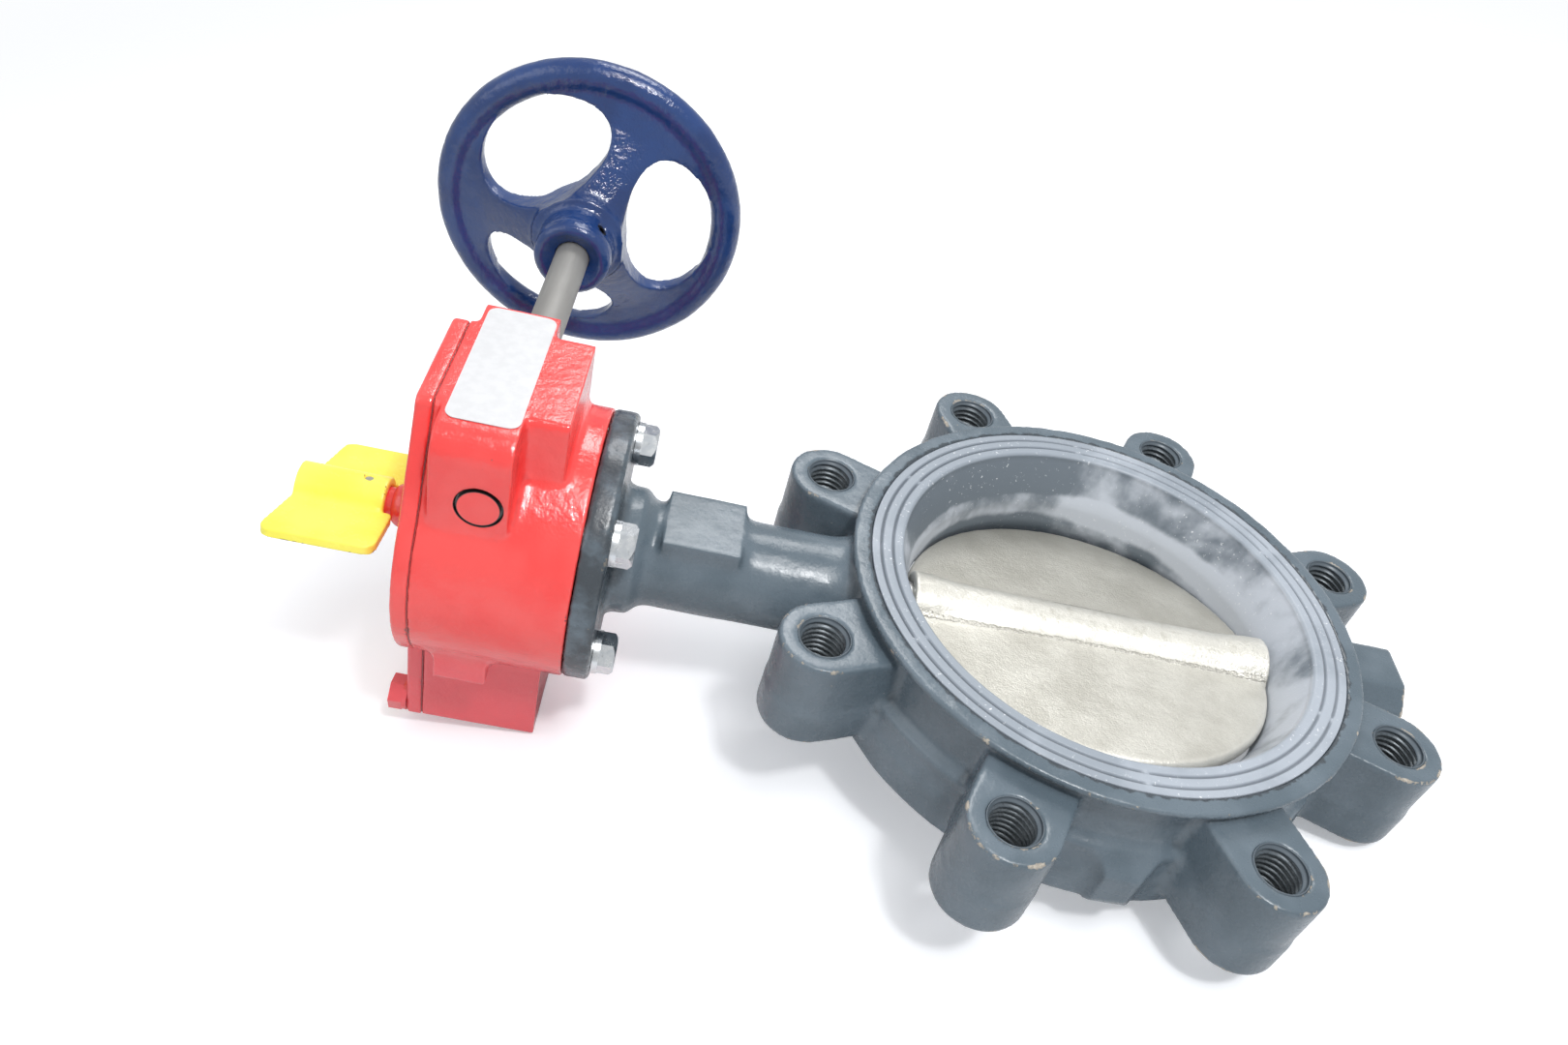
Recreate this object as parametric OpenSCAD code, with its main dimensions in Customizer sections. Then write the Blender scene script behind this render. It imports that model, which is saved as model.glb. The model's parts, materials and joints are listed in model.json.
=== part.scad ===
// Lug-pattern butterfly valve with a worm-gear operator and handwheel.
// Origin: centre of the bore. +Z runs along the pipe, +X runs down the stem, away from the operator.
// The worm shaft lies along Y, with the handwheel on the +Y side.

/* [Pipe end] */
// Face-to-face length over the seat lips
face_to_face = 55.6; // [52:0.1:60]
// Bolt circle of the tapped lugs
bolt_circle = 241.3; // [236:0.1:248]
// Number of tapped lugs
lug_count = 8; // [8:4:8]
// Radius of each tapped lug hole, at the thread's major diameter
lug_hole_r = 9.6; // [8:0.1:10]
// Height of each lug along the pipe
lug_h = 41; // [34:0.5:44]
// Half width of a lug, and the radius of its rounded end
lug_r = 17.2; // [15.5:0.1:19]

/* [Body ring] */
// Radius of the bored body wall that holds the seat
body_bore_r = 88; // [86:0.5:89]
// Radius of the waist between the two end bands
waist_r = 97.5; // [96.5:0.1:99]
// Radius of the band at the upper end face
rim_r = 103.5; // [102:0.1:106]
// Radius of the band at the lower end
lower_band_r = 103.2; // [102:0.1:105]
// Height of the ledge where the waist meets the lower band
ledge_z = 3; // [0:0.5:6]
// Height of the thin band at the upper end face
rim_h = 3.2; // [2.5:0.1:5]
// Radius of the boss that holds the lower stem
boss_r = 20.6; // [18:0.1:24]
// Distance from the pipe axis to the end of the lower boss
boss_x = 129.5; // [124:0.5:140]

/* [Neck] */
// Distance from the pipe axis to the operator's mounting face
mount_x = 202.5; // [190:0.5:230]
// Radius of the neck
neck_r = 20.6; // [18:0.1:24]
// Radius of the collar behind the operator flange
collar_r = 25.3; // [24:0.1:28]
// Length of the collar
collar_len = 10.5; // [8:0.5:14]
// Radius of the operator flange
flange_r = 53; // [51:0.5:60]
// Thickness of the operator flange
flange_t = 10; // [8:0.5:12]
// Half spacing of the four operator bolts, along Y and along Z
flange_bolt_half = 29.3; // [27:0.1:31]
// Width and length of the square pad on the neck
neck_pad = 31; // [26:0.5:34]
// Distance of the square pad's face from the stem axis
neck_pad_z = 21.4; // [21:0.1:26]

/* [Seat] */
// Radius of the seat where the disc closes in it
seat_r = 75.8; // [74:0.1:78]
// Radius of the seat's mouth at each end face
seat_mouth_r = 83.5; // [81:0.1:85]
// Outer radius of the seat lip on each end face
seat_lip_r = 96; // [93:0.1:96.5]
// Thickness of the seat lip
seat_lip_t = 3; // [2:0.1:4]
// Depth of the moulded grooves in the lip
groove_d = 0.9; // [0.5:0.1:1.5]

/* [Disc and stem] */
// Angle between the disc and its closed position, at rest
rest_open = 10; // [0:1:45]
// Gap between the disc's rim and the seat
disc_gap = 0.3; // [0.2:0.05:0.6]
// Half thickness of the disc at its rim
disc_rim_half = 3.6; // [3:0.1:5]
// Half thickness of the disc at its centre
disc_mid_half = 6; // [5:0.1:8]
// Radius of the disc's stem barrel
barrel_r = 12; // [11.5:0.1:15]
// Radius of the stem
stem_r = 9; // [8:0.1:9.5]
// Width across the square drives on the upper stem
square_w = 12.4; // [10:0.1:13]
// Radial running clearance of shafts in bushings
run_gap = 0.06; // [0.03:0.01:0.1]
// Radial clearance of pieces that are pressed or bolted together
seat_gap = 0.02; // [0.01:0.01:0.05]
// Wall of the stem bushings
bushing_wall = 2.5; // [1.5:0.1:3]

/* [Gear housing] */
// Radius of the round part of the housing
drum_r = 53; // [51:0.5:60]
// Depth of the housing, from its mounting face to the cover joint
drum_depth = 56; // [54:0.5:64]
// Height of the upper lobe's flat above the stem axis
top_z = 73; // [70:0.5:84]
// Near side of the upper lobe
top_near = 25; // [24:0.5:30]
// Far side of the upper lobe
top_far = 28; // [26:0.5:32]
// Depth of the lower lobe below the stem axis
foot_z = 90.5; // [86:0.5:100]
// Half width of the lower lobe
foot_half = 28.5; // [27:0.5:34]
// Distance from the stem axis to the face that holds the worm-bore plug
worm_box_near = 42; // [40:0.5:46]
// Distance from the stem axis to the face where the shaft leaves
worm_box_far = 40; // [39:0.5:46]
// Distance from the mounting face to the middle of the worm box
worm_box_offset = 39.3; // [38:0.1:42]
// Half width of the worm box
worm_box_half = 14; // [13.5:0.1:15]
// Width of the stop boss below the worm box, along the stem
stop_w = 20; // [14:0.5:26]
// Distance from the stem axis to the near face of the stop boss
stop_front = 45; // [40:0.5:50]
// Thickness of the cover
cover_t = 6; // [5:0.5:8]
// Thickness of the cover gasket
gasket_t = 0.5; // [0.3:0.1:0.8]
// Height of the round boss on the cover
cover_boss_h = 14.5; // [12:0.5:18]
// Radius of the round boss on the cover
cover_boss_r = 9; // [8:0.1:12]

/* [Worm gear] */
// Teeth on the whole wheel of which the sector is a part
wheel_teeth = 35; // [35:1:35]
// Gear module
gear_module = 2; // [2:0.1:2]
// Distance between the stem axis and the worm axis
centre_distance = 45; // [45:0.5:45]
// Distance from the mounting face to the worm axis
worm_offset = 35.6; // [34:0.1:37]
// Face width of the gear sector
sector_w = 18; // [14:0.5:20]
// Clearance between the worm thread and each tooth flank
flank_gap = 0.35; // [0.25:0.05:0.45]

/* [Handwheel] */
// Outer radius of the handwheel
wheel_r = 71.5; // [65:0.5:85]
// Radius of the rim's round section
rim_tube_r = 7.2; // [6:0.1:9]
// Distance from the stem axis to the middle plane of the rim
wheel_y = 175; // [170:0.5:185]
// Distance from the stem axis to the near end of the hub
hub_y = 125.5; // [122:0.5:130]
// Distance from the stem axis to the back of the hub
hub_back_y = 168; // [166:0.5:172]
// Length of the hub's nose, in front of its shoulder
hub_nose_len = 18; // [16:0.5:22]
// Radius of the hub's shoulder
hub_r = 21.5; // [19:0.1:26]
// Radius of the hub's nose
hub_nose_r = 17; // [15:0.1:19]
// Radius of the input shaft
shaft_r = 7.45; // [7:0.05:8.5]
// Direction of the first spoke, from +X towards +Z
spoke_angle = 67; // [0:1:119]

/* [Indicator flag] */
// Radius of the indicator post
post_r = 6.2; // [5:0.1:6.5]
// Length of the flag along the stem axis
flag_len = 33.5; // [28:0.5:45]
// Reach of the flag on each side of the stem axis
flag_reach = 34.5; // [30:0.5:46]
// Thickness of the flag's wings
flag_t = 4; // [3:0.1:5]
// Radius of the flag's socket
flag_socket_r = 9.8; // [9:0.1:12]

/* [Hidden] */
$fn = 96;

half_ff = face_to_face / 2;
lip_z = half_ff - seat_lip_t;
stem_bore_r = stem_r + bushing_wall;
cast_iron = [0.27, 0.31, 0.35];
paint_red = [0.93, 0.20, 0.19];
paint_blue = [0.10, 0.15, 0.40];
zinc = [0.78, 0.80, 0.80];

// stations along the stem, all on the operator's side and so negative
flange_x = -(mount_x - flange_t);
joint_x = -(mount_x + drum_depth);
cover_in_x = joint_x - gasket_t;
cover_out_x = cover_in_x - cover_t;
boss_out_x = cover_out_x - cover_boss_h;
worm_x = -(mount_x + worm_offset);
worm_box_x = -(mount_x + worm_box_offset);

// operator bolts, 3/8 inch
bolt_r = 4.76;
bolt_clear_r = 5.2;
bolt_af = 14.3;
bolt_head_h = 6.1;
washer_t = 2.4;
washer_r = 8.6;
bolt_engage = 13;

// cover bolts, 5/16 inch
cover_bolt_r = 3.97;
cover_bolt_af = 12.7;
cover_bolt_head_h = 5.4;
cover_bolt_len = 18;
cover_bolt_y = foot_half - 6.2;
cover_bolt_z = -(foot_z - 6.3);
flush_head_r = 5.2;
flush_head_h = 3.5;
flush_y = top_near - 8;
flush_z = top_z - 9;

// gear geometry
pitch_r = gear_module * wheel_teeth / 2;
worm_pitch_r = centre_distance - pitch_r;
addendum = 0.9 * gear_module;
dedendum = 1.15 * gear_module;
lead = PI * gear_module;
lead_angle = atan(lead / (2 * PI * worm_pitch_r));
tooth_pitch = 360 / wheel_teeth;
first_gap = -4;
last_gap = 10;
worm_half = 18;
worm_turns = 4;
worm_pin_y = worm_half - 1.6;
worm_core_r = worm_pitch_r - dedendum;
shaft_stub_r = 5;
sector_hub_r = 17;
drum_wall = 7;
back_wall = 10;
stop_low = -43;

// bushings of the worm shaft
near_bore_r = 8.15;
far_bore_r = shaft_r + 2.4;
thrust_t = 2;
chamber_r = worm_pitch_r + addendum + 0.8;
chamber_half = worm_half + thrust_t + 0.5;
near_bush_len = 11;
far_bush_len = 11;
plug_t = 4;

// ---- helpers ----

// cylinder along X from x0 to x1
module xcyl(r, x0, x1) translate([x0, 0, 0]) rotate([0, 90, 0]) cylinder(r = r, h = x1 - x0);

// cylinder along Y from y0 to y1
module ycyl(r, y0, y1) translate([0, y1, 0]) rotate([90, 0, 0]) cylinder(r = r, h = y1 - y0);

// extrusion along X of an outline drawn in (Y, Z)
module xprism(x0, x1) translate([x0, 0, 0]) rotate([90, 0, 90]) linear_extrude(x1 - x0) children();

// extrusion along Y of an outline drawn in (X, Z)
module yprism(y0, y1) translate([0, y1, 0]) rotate([90, 0, 0]) linear_extrude(y1 - y0) children();

// ring along X
module xring(r_out, r_in, x0, x1) difference() {
    xcyl(r_out, x0, x1);
    xcyl(r_in, x0 - 1, x1 + 1);
}

// hexagon head or nut along X, from x0 to x1
module xhex(af, x0, x1) translate([x0, 0, 0]) rotate([0, 90, 0])
    cylinder(r = af / 2 / cos(30), h = x1 - x0, $fn = 6);

// move to the worm axis
module on_worm() translate([worm_x, 0, centre_distance]) children();

// turn with the disc, from closed to its rest position
module at_rest() rotate([-rest_open, 0, 0]) children();

// the four operator bolt places
module at_flange_bolts() for (y = [-1, 1], z = [-1, 1])
    translate([0, y * flange_bolt_half, z * flange_bolt_half]) children();

// points of an arc
function arc(c, r, a0, a1, n) = [
    for (i = [0:n]) let (a = a0 + (a1 - a0) * i / n) c + r * [cos(a), sin(a)]
];

// outline of a rectangle from p to q with rounded corners
function round_rect(p, q, r, n = 6) = concat(
    arc([q[0] - r, q[1] - r], r, 0, 90, n), arc([p[0] + r, q[1] - r], r, 90, 180, n),
    arc([p[0] + r, p[1] + r], r, 180, 270, n), arc([q[0] - r, p[1] + r], r, 270, 360, n));

// ---- valve body ----

// turned section of the body ring, in (radius, Z)
module ring_section() polygon([
    [body_bore_r, -lip_z], [seat_lip_r + seat_gap, -lip_z], [seat_lip_r + seat_gap, -half_ff],
    [lower_band_r - 1, -half_ff], [lower_band_r, -half_ff + 1],
    [lower_band_r, ledge_z - 15.6], [lower_band_r - 0.8, ledge_z - 15], [lower_band_r - 1.1, ledge_z - 10],
    [waist_r + 4.1, ledge_z - 6.3], [waist_r + 4.6, ledge_z - 5.3], [waist_r + 4.9, ledge_z - 4.2],
    [waist_r + 4.5, ledge_z - 3.1], [waist_r + 3.4, ledge_z - 2.2], [waist_r + 1.4, ledge_z - 1.2],
    [waist_r + 0.4, ledge_z - 0.5], [waist_r, ledge_z + 0.6],
    [waist_r, half_ff - rim_h - 4], [waist_r + 1.2, half_ff - rim_h - 1.6], [rim_r - 1.2, half_ff - rim_h],
    [rim_r, half_ff - rim_h + 0.8], [rim_r, half_ff - 1], [rim_r - 1, half_ff],
    [seat_lip_r + seat_gap, half_ff], [seat_lip_r + seat_gap, lip_z], [body_bore_r, lip_z]
]);

// plan of one lug, grown by g, pointing along +X
module lug_plan(g = 0) union() {
    translate([bolt_circle / 2, 0]) circle(r = lug_r + g);
    translate([waist_r - 5, -lug_r - g]) square([bolt_circle / 2 - waist_r + 5, 2 * (lug_r + g)]);
}

// one lug with its parting step and eased top and bottom edges
module lug() {
    step_z = -4;
    ease = 0.8;
    translate([0, 0, -lug_h / 2]) linear_extrude(lug_h) lug_plan(-ease);
    translate([0, 0, -lug_h / 2 + ease]) linear_extrude(lug_h - 2 * ease) lug_plan();
    translate([0, 0, -lug_h / 2 + ease]) linear_extrude(step_z + lug_h / 2 - ease) lug_plan(0.5);
}

// small cast pad on the near side of the lower band, with a sloping top and cut-in sides
module side_pad() intersection() {
    front = lower_band_r + 5.2;
    xprism(-14, 20) polygon([
        [-(waist_r - 1), -0.6], [-(lower_band_r - 1.4), -1.4],
        [-front, -8.2], [-front, -half_ff + 8], [-(front - 2.6), -half_ff + 2.5],
        [-(waist_r - 1), -half_ff + 2.5]
    ]);
    translate([2.5, 0, -half_ff]) linear_extrude(half_ff) polygon(concat(
        [[-12.5, -(waist_r - 1)], [-12.5, -(lower_band_r - 1.6)]],
        arc([-13, -front], 6.4, 85, 8, 5), [[6.6, -front]],
        [[12.5, -(lower_band_r - 1.6)], [12.5, -(waist_r - 1)]]
    ));
}

// boss of the lower stem, an octagon with a flat on top
module lower_boss() xprism(body_bore_r + 3, boss_x) polygon([
    for (s = [[1, 1], [-1, 1], [-1, -1], [1, -1]])
        for (p = s[0] * s[1] > 0 ? [[0.93, 0.45], [0.5, 0.83]] : [[0.5, 0.83], [0.93, 0.45]])
            [s[0] * p[0] * boss_r, s[1] * p[1] * boss_r]
]);

// neck, square pad, collar and operator flange
module neck() {
    pad_in = -mount_x + 27.2;
    back = mount_x - flange_t;
    rotate([0, -90, 0]) rotate_extrude() polygon([
        [0, body_bore_r + 4], [neck_r + 4, body_bore_r + 4], [neck_r + 2.6, waist_r + 3],
        [neck_r + 0.8, waist_r + 7], [neck_r, waist_r + 12], [neck_r, back - collar_len - 3],
        [collar_r - 0.8, back - collar_len + 1], [collar_r, back - collar_len + 2.4],
        [collar_r, back - 2], [collar_r + 2, back], [flange_r - 1, back], [flange_r, back + 1],
        [flange_r, mount_x - 0.6], [flange_r - 0.6, mount_x], [0, mount_x]
    ]);
    xprism(pad_in, pad_in + neck_pad) polygon([
        [-neck_pad / 2, 0], [-neck_pad / 2, neck_pad_z - 0.6], [-neck_pad / 2 + 0.6, neck_pad_z],
        [neck_pad / 2 - 0.6, neck_pad_z], [neck_pad / 2, neck_pad_z - 0.6], [neck_pad / 2, 0]
    ]);
}

// casting of the body: ring, lugs, neck, operator flange and lower boss
module valve_body() color(cast_iron) difference() {
    union() {
        rotate_extrude() ring_section();
        for (i = [0:lug_count - 1]) rotate([0, 0, 180 / lug_count + i * 360 / lug_count]) lug();
        side_pad();
        neck();
        lower_boss();
    }
    translate([0, 0, -half_ff]) cylinder(r = body_bore_r, h = face_to_face);
    for (i = [0:lug_count - 1]) rotate([0, 0, 180 / lug_count + i * 360 / lug_count])
        translate([bolt_circle / 2, 0, 0]) {
            cylinder(r = lug_hole_r, h = 2 * lug_h, center = true);
            for (s = [0, 1]) mirror([0, 0, s]) translate([0, 0, lug_h / 2 - 0.8])
                cylinder(r1 = lug_hole_r, r2 = lug_hole_r + 1, h = 1);
        }
    xcyl(stem_bore_r, -mount_x - 1, 0);
    xcyl(stem_bore_r, 0, boss_x - 12);
    at_flange_bolts() xcyl(bolt_clear_r, -mount_x - 1, flange_x + 1);
}

// ---- seat and stem bearings ----

// moulded rubber seat with a lip on each end face
module seat_liner() color([0.45, 0.47, 0.49]) difference() {
    rotate_extrude() polygon(concat(
        [[body_bore_r - seat_gap, -lip_z], [seat_lip_r, -lip_z]],
        [[seat_lip_r, -half_ff], [seat_mouth_r, -half_ff]],
        [[seat_r + 3.6, -half_ff + 8], [seat_r + 1, -11], [seat_r, -6], [seat_r, 6], [seat_r + 1, 11],
         [seat_r + 3.6, half_ff - 8]],
        [[seat_mouth_r, half_ff], [seat_lip_r, half_ff], [seat_lip_r, lip_z], [body_bore_r - seat_gap, lip_z]]
    ));
    for (s = [0, 1]) mirror([0, 0, s]) translate([0, 0, half_ff - groove_d]) {
        for (r = [seat_mouth_r + 3.8, seat_mouth_r + 8.4])
            rotate_extrude() translate([r, 0]) square([0.8, groove_d + 1]);
        for (a = [30:60:330]) rotate([0, 0, a]) translate([seat_mouth_r + 4, -0.7, 0])
            cube([4.6, 1.4, groove_d + 1]);
    }
    xcyl(stem_r + run_gap, -body_bore_r - 5, body_bore_r + 5);
}

// bushing nearest the disc on the operator's side
module upper_bushing() color([0.75, 0.62, 0.30])
    xring(stem_bore_r - seat_gap, stem_r + run_gap, -body_bore_r - 26, -body_bore_r - 4);

// bushing under the operator flange
module collar_bushing() color([0.75, 0.62, 0.30])
    xring(stem_bore_r - seat_gap, stem_r + run_gap, -mount_x + 3, -mount_x + 21);

// bushing of the lower stem
module lower_bushing() color([0.75, 0.62, 0.30])
    xring(stem_bore_r - seat_gap, stem_r + run_gap, body_bore_r + 4, body_bore_r + 24);

// pair of rubber stem seals above the upper bushing
module stem_seals() color([0.1, 0.1, 0.1]) for (i = [0, 1])
    xring(stem_bore_r - seat_gap, stem_r + run_gap, -body_bore_r - 33 - 5 * i, -body_bore_r - 29 - 5 * i);

// ---- disc and stems ----

// disc with a crowned rim and a barrel along the stem
module disc() color([0.80, 0.78, 0.72]) at_rest() difference() {
    rim = seat_r - disc_gap;
    hub_end = sqrt(seat_r * seat_r - (barrel_r + 2) * (barrel_r + 2)) - 0.25;
    union() {
        rotate_extrude() polygon([
            [0, -disc_mid_half], [rim * 0.72, -disc_rim_half - 0.9], [rim - 3, -disc_rim_half],
            [rim - 0.8, -disc_rim_half + 0.5], [rim - 0.1, -1.6], [rim, 0], [rim - 0.1, 1.6],
            [rim - 0.8, disc_rim_half - 0.5], [rim - 3, disc_rim_half], [rim * 0.72, disc_rim_half + 0.9],
            [0, disc_mid_half]
        ]);
        rotate([0, 90, 0]) rotate_extrude() polygon([
            [0, -hub_end], [barrel_r + 1.8, -hub_end], [barrel_r + 1.4, -hub_end + 8],
            [barrel_r + 0.2, -hub_end + 20], [barrel_r - 0.2, 0], [barrel_r + 0.2, hub_end - 20],
            [barrel_r + 1.4, hub_end - 8], [barrel_r + 1.8, hub_end], [0, hub_end]
        ]);
    }
    xcyl(stem_r + seat_gap, -seat_r - 2, -46);
    translate([-47, 0, 0]) cube([28, square_w + 2 * seat_gap, square_w + 2 * seat_gap], center = true);
    xcyl(stem_r + seat_gap, 34, seat_r + 2);
}

// stem from the disc's square drive to the gear sector
module upper_stem() color(zinc) at_rest() difference() {
    union() {
        xcyl(stem_r, worm_x - 14, -46 - seat_gap);
        translate([-47, 0, 0]) cube([26, square_w, square_w], center = true);
    }
    translate([worm_x - 10, 0, 0])
        cube([12 + 2 * seat_gap, 8 + 2 * seat_gap, 8 + 2 * seat_gap], center = true);
    translate([worm_x - 11, -2.5 - seat_gap, stem_r - 2.5]) cube([22, 5 + 2 * seat_gap, 5]);
}

// stub stem pressed into the disc's lower end
module lower_stem() color(zinc) at_rest() xcyl(stem_r, 34 + seat_gap, boss_x - 12.3);

// ---- gear operator ----

// outline of the housing and cover in (Y, Z), shrunk by g
module operator_outline(g = 0) union() {
    circle(r = drum_r - g);
    polygon(concat(
        arc([top_far - g - 4, top_z - g - 4], 4, 0, 90, 5),
        arc([-(top_near - g - 4), top_z - g - 4], 4, 90, 180, 5),
        [for (s = [-1, 1]) each [if (s > 0) [0, 0], (drum_r - g) * [s * cos(38), sin(38)]]]
    ));
    polygon(round_rect([-(foot_half - g), -(foot_z - g)], [foot_half - g, 0], 3));
}

// body of the worm box in (Y, Z), with its rounded near edge
module worm_box_side() polygon(concat(
    arc([worm_box_far - 2.5, top_z - 2.5], 2.5, 0, 90, 4),
    arc([-(worm_box_near - 10), top_z - 10], 10, 90, 180, 8),
    [[-worm_box_near, 28], [-20, 24], [20, 24], [worm_box_far, 26]]
));

// gear housing: drum, upper lobe, worm box and lower lobe, hollow towards the cover
module gear_housing() color(paint_red) difference() {
    union() {
        xcyl(drum_r, joint_x, -mount_x);
        xprism(joint_x, joint_x + 5) operator_outline();
        xprism(joint_x, joint_x + 46) polygon(round_rect([-(top_near - 0.5), 0], [top_far, top_z], 3));
        xprism(joint_x, joint_x + 46.5) polygon(round_rect([-foot_half, -foot_z], [foot_half, 0], 3));
        xprism(worm_box_x - worm_box_half, worm_box_x + worm_box_half) worm_box_side();
        translate([worm_box_x - stop_w / 2 + 1, -stop_front, stop_low]) cube([stop_w, 20, 20]);
    }
    // gear chamber
    xcyl(drum_r - drum_wall, joint_x - 1, -mount_x - back_wall);
    // worm chamber, open to the gear
    on_worm() {
        ycyl(chamber_r, -chamber_half, chamber_half);
        translate([-chamber_r, -chamber_half, -(centre_distance - 20)])
            cube([2 * chamber_r, 2 * chamber_half, centre_distance - 20]);
    }
    // lower lobe
    translate([joint_x - 1, -foot_half + 14, -foot_z + 9]) cube([40, 2 * foot_half - 28, foot_z - 30]);
    // worm shaft bores
    on_worm() {
        ycyl(near_bore_r, -worm_box_near - 1, 0);
        ycyl(far_bore_r, 0, worm_box_far + 1);
    }
    // bearing of the sector's hub
    xcyl(sector_hub_r + run_gap, joint_x, -mount_x + 1);
    at_flange_bolts() xcyl(bolt_r + seat_gap, -mount_x - bolt_engage - 1, -mount_x + 1);
    for (s = [-1, 1]) {
        translate([0, s * cover_bolt_y, cover_bolt_z])
            xcyl(cover_bolt_r + seat_gap, joint_x - 1, joint_x + cover_bolt_len);
        translate([0, s * flush_y, flush_z]) xcyl(2.5 + seat_gap, joint_x - 1, joint_x + 12);
    }
}

// cover over the gear chamber, with a rounded boss round the indicator post
module gear_cover() color(paint_red) difference() {
    union() {
        xprism(cover_out_x + 0.8, cover_in_x) operator_outline();
        xprism(cover_out_x, cover_in_x) operator_outline(0.8);
        rotate([0, -90, 0]) rotate_extrude() polygon(concat(
            [[0, -cover_in_x - 1], [cover_boss_r + 2.5, -cover_in_x - 1], [cover_boss_r + 2.5, -cover_out_x],
             [cover_boss_r, -cover_out_x + 1.5]],
            arc([cover_boss_r - 6, -boss_out_x - 6], 6, 0, 60, 5),
            [[cover_boss_r - 4, -boss_out_x], [0, -boss_out_x]]
        ));
    }
    xcyl(post_r + run_gap, boss_out_x - 1, cover_in_x + 1);
    xcyl(post_r + 2, cover_in_x - 5, cover_in_x + 1);
    for (s = [-1, 1]) {
        translate([0, s * cover_bolt_y, cover_bolt_z])
            xcyl(cover_bolt_r + 0.3, cover_out_x - 1, cover_in_x + 1);
        translate([0, s * flush_y, flush_z]) {
            xcyl(2.8, cover_out_x - 1, cover_in_x + 1);
            xcyl(flush_head_r + 0.2, cover_out_x - 1, cover_out_x + flush_head_h + 0.3);
        }
    }
}

// gasket between the housing and the cover
module cover_gasket() color([0.12, 0.12, 0.12]) difference() {
    xprism(cover_in_x, joint_x) operator_outline(0.6);
    xcyl(drum_r - drum_wall, cover_in_x - 1, joint_x + 1);
    translate([cover_in_x - 1, -foot_half + 14, -foot_z + 9]) cube([3, 2 * foot_half - 28, foot_z - 30]);
    for (s = [-1, 1]) {
        translate([0, s * cover_bolt_y, cover_bolt_z]) xcyl(cover_bolt_r + 0.3, cover_in_x - 1, joint_x + 1);
        translate([0, s * flush_y, flush_z]) xcyl(2.8, cover_in_x - 1, joint_x + 1);
    }
}

// hexagon bolts in the cover's lower corners
module cover_bolts() color(paint_red) for (s = [-1, 1]) translate([0, s * cover_bolt_y, cover_bolt_z]) {
    rim_x = cover_out_x - 2;
    xcyl(cover_bolt_r, rim_x - 1, joint_x + cover_bolt_len - 1);
    xcyl(cover_bolt_af / 2 + 0.6, rim_x, cover_out_x);
    rotate([15, 0, 0]) xhex(cover_bolt_af, rim_x - cover_bolt_head_h, rim_x);
}

// socket screws sunk flush in the cover's upper corners
module cover_flush_screws() color(paint_red) for (s = [-1, 1])
    translate([0, s * flush_y, flush_z]) difference() {
        union() {
            xcyl(2.5, cover_out_x + 1, joint_x + 11);
            xcyl(flush_head_r, cover_out_x + 0.3, cover_out_x + flush_head_h + 0.3);
        }
        xhex(4, cover_out_x - 1, cover_out_x + 2.4);
    }

// four bolts through the valve's operator flange into the housing
module flange_bolts() color(zinc) at_flange_bolts() {
    head_x = flange_x + washer_t;
    xcyl(bolt_r, -mount_x - bolt_engage, head_x + 1);
    rotate([20, 0, 0]) intersection() {
        xhex(bolt_af, head_x, head_x + bolt_head_h);
        rotate([0, 90, 0]) translate([0, 0, head_x])
            cylinder(r1 = bolt_af / 2 + 5, r2 = bolt_af / 2 - 0.2, h = bolt_head_h);
    }
}

// spring washers under the bolt heads
module lock_washers() color(zinc) at_flange_bolts() difference() {
    xring(washer_r, bolt_r + 0.3, flange_x, flange_x + washer_t);
    translate([flange_x - 1, 0, -0.6]) cube([washer_t + 2, washer_r + 1, 1.2]);
}

// round plug that closes the near end of the worm bore
module worm_plug() color(paint_red) on_worm() {
    ycyl(near_bore_r - 0.65, -worm_box_near, -worm_box_near + plug_t);
    ycyl(near_bore_r - seat_gap, -worm_box_near + 1.5, -worm_box_near + plug_t);
}

// plain bushings at both ends of the worm
module worm_bushings() color([0.75, 0.62, 0.30]) on_worm() {
    near_y = -(worm_half + thrust_t + 0.5);
    far_y = worm_half + thrust_t + 0.5;
    difference() {
        ycyl(near_bore_r - seat_gap, near_y - near_bush_len, near_y);
        ycyl(shaft_stub_r + run_gap, near_y - near_bush_len - 1, near_y + 1);
    }
    difference() {
        ycyl(far_bore_r - seat_gap, far_y, far_y + far_bush_len);
        ycyl(shaft_r + run_gap, far_y - 1, far_y + far_bush_len + 1);
    }
}

// hardened washers that take the worm's thrust
module thrust_washers() color(zinc) on_worm() for (s = [0, 1]) mirror([0, s, 0]) difference() {
    ycyl(s == 0 ? 11 : 7.4, -(worm_half + thrust_t + 0.3), -(worm_half + 0.3));
    ycyl(shaft_stub_r + run_gap, -(worm_half + thrust_t + 1), -worm_half);
}

// rubber seal where the shaft leaves the housing
module shaft_seal() color([0.1, 0.1, 0.1]) on_worm() difference() {
    ycyl(far_bore_r - seat_gap, worm_box_far - 4, worm_box_far - 0.8);
    ycyl(shaft_r + run_gap, worm_box_far - 5, worm_box_far + 1);
}

// blank plate on the flat above the worm
module label_plate() color([0.95, 0.95, 0.95]) translate([0, 0, top_z])
    linear_extrude(0.3) polygon(round_rect(
        [worm_box_x - worm_box_half + 2, -(worm_box_near - 10.8)],
        [worm_box_x + worm_box_half - 0.8, worm_box_far - 3.4], 4));

// rubber ring round the indicator post, inside the cover
module post_seal() color([0.1, 0.1, 0.1])
    xring(post_r + 2 - seat_gap, post_r + run_gap, cover_in_x - 4.4, cover_in_x - 0.6);

// ---- worm gear ----

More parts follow.
